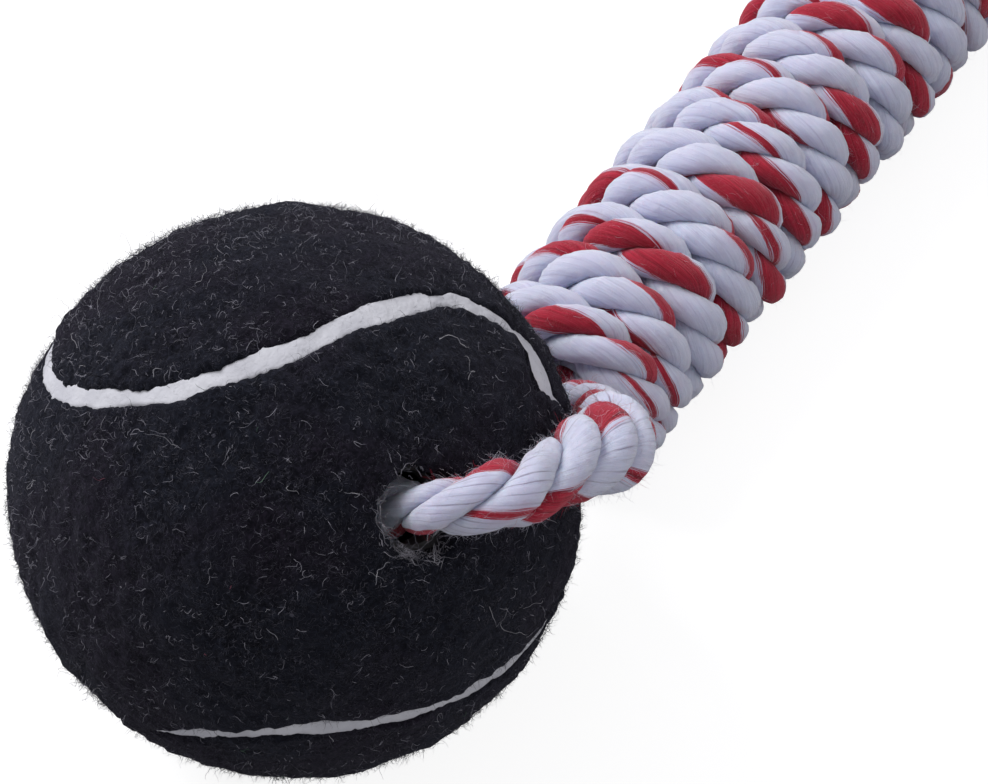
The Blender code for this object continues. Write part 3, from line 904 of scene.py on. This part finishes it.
def panel_mesh(name, second, turned, centre, bore, shift, seed):
    """One closed felt panel in its place, flattened where it stands on the floor."""
    points, faces = panel_surface(second)
    points, faces = cut_hole(points, faces, turned.T @ bore, turned.T @ shift, HOLE_SEED)
    edge = points[np.unique(open_edges(faces)[0])]
    inward = np.clip(from_points(points * BALL_RADIUS, edge * BALL_RADIUS), 0, FELT_EDGE_RADIUS)
    drop = FELT_EDGE_RADIUS - np.sqrt(FELT_EDGE_RADIUS**2 - (FELT_EDGE_RADIUS - inward) ** 2)
    lumps = rippled(points * BALL_RADIUS, FELT_RIPPLES, seed)
    radius = BALL_RADIUS - FELT_SINK + lumps - FELT_EDGE_DROP_SHARE * drop
    outer = points @ turned.T * radius[:, None] + centre
    outer[:, 2] = np.maximum(outer[:, 2], FELT_FLOOR_GAP)
    inner = points @ turned.T * (BALL_RADIUS - FELT_THICKNESS) + centre
    return shell_mesh(name, outer, faces, inner)


def seam_band_mesh(name, turned, centre, seed):
    """The seam's cement, a band that is slightly domed and rough."""
    turn = TURN * np.arange(BAND_SECTIONS) / BAND_SECTIONS
    offsets = np.linspace(-1, 1, BAND_COLUMNS + 1)
    reach = np.maximum(np.maximum(seam_gap(turn, 0), seam_gap(turn, 1)), SEAM_HALF_WIDTH) + BAND_MARGIN
    rows = np.stack([beside_seam(turn, offset * reach) for offset in offsets], axis=1)
    points = strayed(rows.reshape(-1, 3))
    faces = grid_faces(BAND_SECTIONS + 1, BAND_COLUMNS + 1) % len(points)
    dome = BAND_DOME * (1 - offsets**2)
    rough = rippled(points * BALL_RADIUS, BAND_RIPPLES, seed)
    gap = np.where(offsets[None] > 0, seam_gap(turn, 0)[:, None], seam_gap(turn, 1)[:, None])
    under_felt = np.abs(offsets[None] * reach[:, None]) - gap
    sunk = BAND_SINK * smoothstep(under_felt, *BAND_SINK_RANGE).ravel()
    radius = SEAM_RADIUS + np.tile(dome, BAND_SECTIONS) + rough - sunk
    outer = points @ turned.T * radius[:, None] + centre
    inner = points @ turned.T * (BALL_RADIUS - FELT_THICKNESS) + centre
    return shell_mesh(name, outer, faces, inner)


def fibre_mesh(name, paths, radii):
    """Closed three-sided tubes, each drawn out to a point, along paths by fibre, step and coordinate."""
    count, steps = paths.shape[:2]
    heading = unit(np.gradient(paths, axis=1) + 1e-12)
    other = unit(paths[:, :1] - paths.mean(axis=(0, 1)) + 1e-9)
    side = unit(np.cross(heading, other) + 1e-12)
    across = np.cross(heading, side)
    corners = TURN * np.arange(3) / 3
    width = radii[:, None] * np.linspace(1, 0.55, steps - 1)[None]
    rings = (paths[:, :-1, None] + width[..., None, None] * (
        np.cos(corners)[:, None] * side[:, :-1, None] + np.sin(corners)[:, None] * across[:, :-1, None]))
    points = np.concatenate([rings.reshape(count, -1, 3), paths[:, -1:]], axis=1)
    each = points.shape[1]
    ring, corner = np.meshgrid(np.arange(steps - 2), np.arange(3), indexing="ij")
    after = (corner + 1) % 3
    low, high = ring * 3, ring * 3 + 3
    walls = np.stack([low + corner, low + after, high + after, high + corner], axis=-1)
    top, tip = 3 * (steps - 2), each - 1
    ends = np.array([[2, 1, 0], [top, top + 1, tip], [top + 1, top + 2, tip], [top + 2, top, tip]])
    starts = each * np.arange(count)[:, None, None]
    return mesh_from(name, points.reshape(-1, 3), (walls.reshape(-1, 4)[None] + starts).reshape(-1, 4),
                     (ends[None] + starts).reshape(-1, 3))


def curled_paths(rng, roots, normals, tangents, length, steps, lift, curl, settle):
    """Fibres that leave their roots at a lift above the surface, bend at random and settle along it."""
    heading = unit(tangents + normals * lift[:, None])
    bend = rng.normal(size=roots.shape)
    paths = [roots]
    stride = (length / (steps - 1))[:, None]
    for _ in range(steps - 1):
        paths.append(paths[-1] + heading * stride)
        bend = bend * 0.6 + rng.normal(size=roots.shape) * 0.8
        heading = unit(heading + curl * bend - settle * normals)
    return np.stack(paths, axis=1)


def any_way(rng, normals):
    """Random directions along a surface."""
    return unit(np.cross(normals, rng.normal(size=normals.shape)))


def on_ball(rng, count):
    return unit(rng.normal(size=(count, 3)))


# Loose fibres of the felt: piece, tone, count, lengths and radii in millimetres, steps, lifts, curl,
# settling and height of the roots in millimetres
FELT_FIBRES = (
    ("pile_1", "dark", 7500, (0.9, 2.3), (0.018, 0.034), 4, (0.25, 1.6), 0.45, 0.18, -0.35),
    ("pile_2", "dark", 7500, (0.9, 2.3), (0.018, 0.034), 4, (0.25, 1.6), 0.45, 0.18, -0.35),
    ("short_fibres_1", "dim", 11500, (0.4, 1.5), (0.013, 0.024), 4, (0.2, 1.3), 0.9, 0.08, 0.0),
    ("short_fibres_2", "dim", 11500, (0.4, 1.5), (0.013, 0.024), 4, (0.2, 1.3), 0.9, 0.08, 0.0),
    ("grey_fibres", "grey", 10500, (0.6, 2.3), (0.016, 0.031), 7, (0.1, 0.9), 0.85, 0.1, 0.05),
    ("lint", "pale", 120, (2.5, 6.5), (0.02, 0.036), 18, (0.1, 0.5), 0.6, 0.06, 0.1),
    ("green_lint", "green", 26, (0.8, 2.6), (0.03, 0.05), 8, (0.1, 0.5), 0.7, 0.1, 0.0),
    ("pink_lint", "pink", 26, (0.8, 2.6), (0.03, 0.05), 8, (0.1, 0.5), 0.7, 0.1, 0.0),
)


def ball_fuzz(end, centre, turned, bore, shift, painted_light_way):
    """Loose fibres of the felt; the grey ones lie thickest on one side, painted light for the fibres that
    catch the key lamp.
    """
    rng = np.random.default_rng(7 if end == "a" else 8)
    turn = np.linspace(0, TURN, SEAM_SAMPLES // 2, endpoint=False)
    bare = np.maximum(seam_gap(turn, 0) - SEAM_HALF_WIDTH, 0)
    seam = np.concatenate([strayed(beside_seam(turn, share * bare)) for share in (-1, -0.5, 0, 0.5, 1)])
    seam = seam @ turned.T
    for piece, tone, count, lengths, radii, steps, lifts, curl, settle, height in FELT_FIBRES:
        points = on_ball(rng, count)
        nearest = from_points(points * BALL_RADIUS, seam * BALL_RADIUS)
        distance, _, _, _ = around_bore(points * BALL_RADIUS, bore, shift)
        keep = (nearest > SEAM_HALF_WIDTH + FIBRE_SEAM_GAP) & (distance > FELT_HOLE_RADIUS + FIBRE_HOLE_GAP)
        keep &= centre[2] + points[:, 2] * BALL_RADIUS > FIBRE_FLOOR_GAP
        # Painted light: more grey fibres on the side that faces the key lamp, fewer elsewhere
        if piece == "grey_fibres":
            more = smoothstep(points @ painted_light_way, 0.1, 0.75)
            keep &= rng.random(count) < PAINTED_LIGHT_LEAST + (1 - PAINTED_LIGHT_LEAST) * more
        points = points[keep]
        size = len(points)
        roots = points * (BALL_RADIUS - FELT_SINK + height * MM)
        paths = curled_paths(rng, roots, points, any_way(rng, points), rng.uniform(*lengths, size) * MM,
                             steps, rng.uniform(*lifts, size), curl, settle) + centre
        paths[..., 2] = np.maximum(paths[..., 2], FLOOR_GAP)
        mesh = fibre_mesh(f"felt_{end}_{piece}", paths, rng.uniform(*radii, size) * MM)
        add_piece(mesh.name, mesh, FUZZ[tone], f"ball_{end}", "felt")


def hole_ring(end, centre, bore, shift):
    """Frayed grey fibres round the two mouths of the rope's hole."""
    rng = np.random.default_rng(17 if end == "a" else 18)
    paths = []
    for way in (bore, -bore):
        _, _, first, second = around_bore(np.zeros((1, 3)), way, shift)
        count = FRAYING_FIBRES
        start = rng.normal(0, 1.25, count) + math.atan2(shift @ second, shift @ first)
        sweep = rng.uniform(-1.0, 1.0, count) * rng.uniform(0.2, 1, count)
        ring = FELT_HOLE_RADIUS + rng.normal(-0.1, 0.4, count) * MM
        drift = rng.normal(0, 0.8, count) * MM
        depth = rng.normal(-0.8, 0.6, count) * MM
        rise = rng.normal(0.2, 0.7, count) * MM
        share = np.linspace(0, 1, FRAYING_STEPS)
        angle = start[:, None] + sweep[:, None] * share
        wave = 0.3 * MM * np.sin(share * 11 + start[:, None] * 5) * rng.uniform(0, 1, count)[:, None]
        radius = ring[:, None] + drift[:, None] * share + wave
        height = np.sqrt(BALL_RADIUS**2 - radius**2) - FELT_SINK + depth[:, None] + rise[:, None] * share
        x, y = np.cos(angle) * radius, np.sin(angle) * radius
        paths.append(x[..., None] * first + y[..., None] * second + height[..., None] * way + shift)
    paths = np.concatenate(paths) + centre
    mesh = fibre_mesh(f"felt_{end}_hole_fraying", paths, rng.uniform(0.025, 0.055, len(paths)) * MM)
    add_piece(mesh.name, mesh, FUZZ["frayed"], f"ball_{end}", "felt")


def build_ball(end, half_turn):
    centre = half_turn @ BALL_CENTRE
    bore = half_turn @ BORE_AXIS
    shift = half_turn @ FELT_HOLE_SHIFT
    cover = half_turn @ euler_matrix(SEAM_TURN)
    half_over = np.diag((1.0, -1.0, -1.0))
    body = f"ball_{end}"
    for number, turned in ((1, cover), (2, cover @ half_over)):
        name = f"felt_{end}_{number}_cover"
        mesh = panel_mesh(name, number == 2, turned, centre, bore, shift, FELT_SEED + 10 * number)
        add_piece(name, mesh, FELT, body, "felt", f"felt_{end}_{number}")
    mesh = seam_band_mesh(f"seam_{end}_band", cover, centre, BAND_SEED)
    add_piece(mesh.name, mesh, SEAM, body, "seam", f"seam_{end}")
    for side in ("front", "back"):
        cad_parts[f"core_{end}_{side}"].data.materials[0] = RUBBER
    ball_fuzz(end, centre, cover, bore, shift, half_turn @ PAINTED_LIGHT_WAY)
    hole_ring(end, centre, bore, shift)


# Stage

def seen_directly(tree):
    """1 for rays that show the stage itself and 0 for those by which it lights the toy."""
    path = add_node(tree, "ShaderNodeLightPath")
    direct = maths(tree, "MAXIMUM", path.outputs["Is Camera Ray"], path.outputs["Is Glossy Ray"])
    return maths(tree, "MAXIMUM", direct, path.outputs["Is Transmission Ray"])


def build_stage():
    floor = bpy.data.meshes.new("floor")
    size = 3.0
    corners = [(-size, -size, 0), (size, -size, 0), (size, size, 0), (-size, size, 0)]
    floor.from_pydata(corners, [], [(0, 1, 2, 3)])
    material, tree, shader = new_material("floor_paper")
    set_inputs(tree, shader, {
        "Base Color": (0.30, 0.30, 0.31, 1), "Roughness": 1.0, "Specular IOR Level": 0.0,
        "Emission Color": (1, 1, 1, 1), "Emission Strength": times(tree, seen_directly(tree), 0.86),
    })
    floor.materials.append(material)
    new_object("floor", floor)

    world = bpy.data.worlds.new("studio")
    bpy.context.scene.world = world
    world.use_nodes = True
    tree = world.node_tree
    strength = maths(tree, "ADD", times(tree, seen_directly(tree), 0.5), 0.5)
    set_inputs(tree, tree.nodes["Background"], {"Color": (1, 1, 1, 1), "Strength": strength})


def add_lamp(name, place, target, size, power):
    lamp = bpy.data.lights.new(name, "AREA")
    lamp.shape = "DISK"
    lamp.size = size
    lamp.energy = power
    obj = new_object(name, lamp)
    obj.location = place
    obj.rotation_euler = (Vector(target) - Vector(place)).to_track_quat("-Z", "Y").to_euler()


def build_camera():
    """The photograph's viewpoint, found from the ball's outline, its seam and the bar's edges."""
    azimuth, elevation = math.radians(213.566), math.radians(50.245)
    distance, aside, above = 0.335, 0.02225, 0.0111
    level = math.cos(elevation)
    back = Vector((level * math.cos(azimuth), level * math.sin(azimuth), math.sin(elevation)))
    right = Vector((-math.sin(azimuth), math.cos(azimuth), 0))
    up = back.cross(right)
    place = Vector(BALL_CENTRE) + back * distance + right * aside + up * above
    camera = bpy.data.cameras.new("camera")
    camera.sensor_width = 36
    camera.lens = 108.0
    camera.clip_start = 0.01
    obj = new_object("camera", camera)
    obj.matrix_world = Matrix.Translation(place) @ Matrix((right, up, back)).transposed().to_4x4()
    bpy.context.scene.camera = obj
    return back, right, up


def main():
    scene = bpy.context.scene
    scene.view_settings.view_transform = "Standard"
    back, right, up = build_camera()
    build_stage()
    target = (-0.08, 0, 0.03)
    key = Vector(target) + (up * 0.75 - right * 0.55 + back * 0.35).normalized() * 1.0
    add_lamp("key", key, target, 0.6, 8.0)
    fill = Vector(target) + (right * 0.9 + back * 0.6 + up * 0.2).normalized() * 1.2
    add_lamp("fill", fill, target, 0.8, 1.5)
    build_rope()
    build_ball("a", np.eye(3))
    build_ball("b", OTHER_END)


main()
